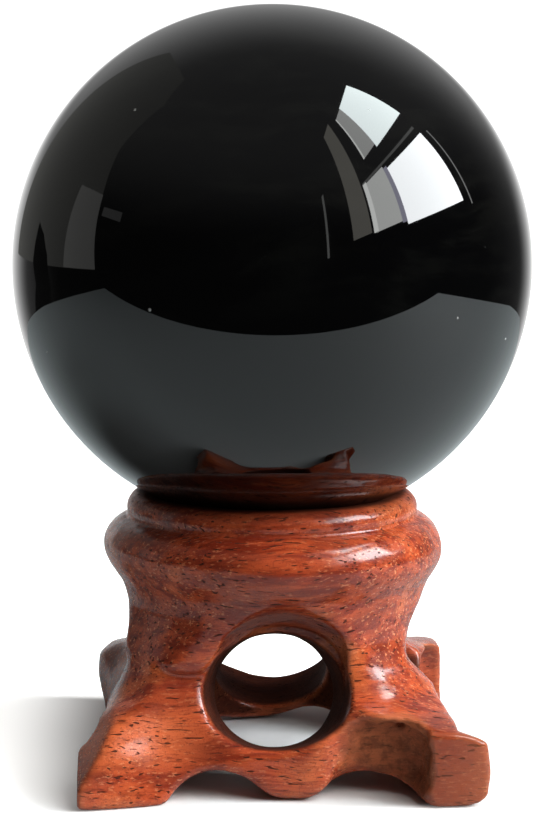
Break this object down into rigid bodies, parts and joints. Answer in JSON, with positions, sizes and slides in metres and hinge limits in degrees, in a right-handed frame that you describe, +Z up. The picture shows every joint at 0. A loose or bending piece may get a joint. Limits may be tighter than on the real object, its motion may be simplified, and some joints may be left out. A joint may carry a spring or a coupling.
{
  "type": "obsidian sphere",
  "caption": "Polished black obsidian sphere resting in the cup of a carved, pierced hardwood stand with turned beads under the cup.",
  "frame": {"origin": "on the floor, straight under the middle of the sphere, at the centre of the bottom of the bounding box", "axes": "+Z up, +X to the object's right and +Y to its back, with the sides of the stand along X and Y and its front towards -Y"},
  "size_m": [0.06, 0.06, 0.0876],
  "materials": {
    "obsidian": "mirror-polished black volcanic glass",
    "reddish_hardwood": "satin varnish over reddish-brown hardwood with open pores"
  },
  "bodies": {
    "root": {"obsidian_sphere": "obsidian", "carved_stand": "reddish_hardwood"}
  },
  "joints": []
}
